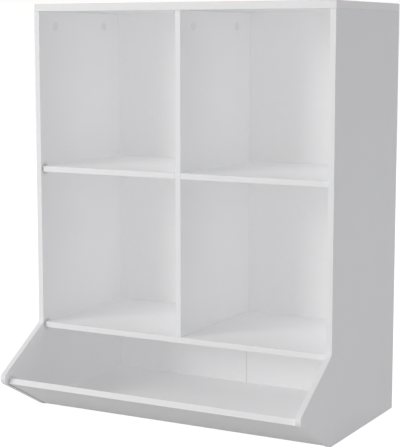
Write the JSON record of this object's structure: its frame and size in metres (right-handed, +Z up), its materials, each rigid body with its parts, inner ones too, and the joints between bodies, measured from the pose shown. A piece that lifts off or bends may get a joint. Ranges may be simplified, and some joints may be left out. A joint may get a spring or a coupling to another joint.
{
  "type": "childrens shelf unit",
  "caption": "Low open shelf unit for a child's room: square cubbies over a toy bin whose flared sides hold a sloping front lip.",
  "frame": {"origin": "on the floor under the middle of the whole footprint, half way between the nose of the flared sides and their rear edges", "axes": "+X to the right as seen from the open front, +Y to the back, +Z up"},
  "size_m": [0.666, 0.4568, 0.833],
  "materials": {
    "white_board": "white satin melamine facing on particle board",
    "back_board": "white lacquered hardboard",
    "cap_plastic": "white satin plastic",
    "cam_zinc": "die-cast zinc, matt grey",
    "bolt_steel": "zinc-plated steel",
    "dowel_wood": "bare beech"
  },
  "bodies": {
    "root": {"bin_floor": "white_board", "bin_floor_bolt_left": "bolt_steel", "bin_floor_bolt_right": "bolt_steel", "bin_floor_cam_left": "cam_zinc", "bin_floor_cam_right": "cam_zinc", "bin_floor_dowel_left": "dowel_wood", "bin_floor_dowel_right": "dowel_wood", "bin_front_bolt_left": "bolt_steel", "bin_front_bolt_right": "bolt_steel", "bin_front_cam_left": "cam_zinc", "bin_front_cam_right": "cam_zinc", "bin_front_panel": "white_board", "centre_divider": "white_board", "divider_double_bolt": "bolt_steel", "divider_screw_front": "bolt_steel", "divider_screw_rear": "bolt_steel", "divider_through_dowel": "dowel_wood", "half_shelf_bolt_left_outer": "bolt_steel", "half_shelf_bolt_right_outer": "bolt_steel", "half_shelf_cam_left_inner": "cam_zinc", "half_shelf_cam_left_outer": "cam_zinc", "half_shelf_cam_right_inner": "cam_zinc", "half_shelf_cam_right_outer": "cam_zinc", "half_shelf_dowel_left": "dowel_wood", "half_shelf_dowel_right": "dowel_wood", "left_back_panel": "back_board", "left_half_shelf": "white_board", "left_side_panel": "white_board", "lower_shelf": "white_board", "lower_shelf_bolt_left_front": "bolt_steel", "lower_shelf_bolt_left_rear": "bolt_steel", "lower_shelf_bolt_right_front": "bolt_steel", "lower_shelf_bolt_right_rear": "bolt_steel", "lower_shelf_cam_left_front": "cam_zinc", "lower_shelf_cam_left_rear": "cam_zinc", "lower_shelf_cam_right_front": "cam_zinc", "lower_shelf_cam_right_rear": "cam_zinc", "right_back_panel": "back_board", "right_half_shelf": "white_board", "right_side_panel": "white_board", "top_bolt_left_front": "bolt_steel", "top_bolt_left_rear": "bolt_steel", "top_bolt_middle_front": "bolt_steel", "top_bolt_middle_rear": "bolt_steel", "top_bolt_right_front": "bolt_steel", "top_bolt_right_rear": "bolt_steel", "top_cam_left_front": "cam_zinc", "top_cam_left_rear": "cam_zinc", "top_cam_middle_front": "cam_zinc", "top_cam_middle_rear": "cam_zinc", "top_cam_right_front": "cam_zinc", "top_cam_right_rear": "cam_zinc", "top_cap_left_front": "cap_plastic", "top_cap_left_rear": "cap_plastic", "top_cap_middle_front": "cap_plastic", "top_cap_middle_rear": "cap_plastic", "top_cap_right_front": "cap_plastic", "top_cap_right_rear": "cap_plastic", "top_panel": "white_board"}
  },
  "joints": []
}
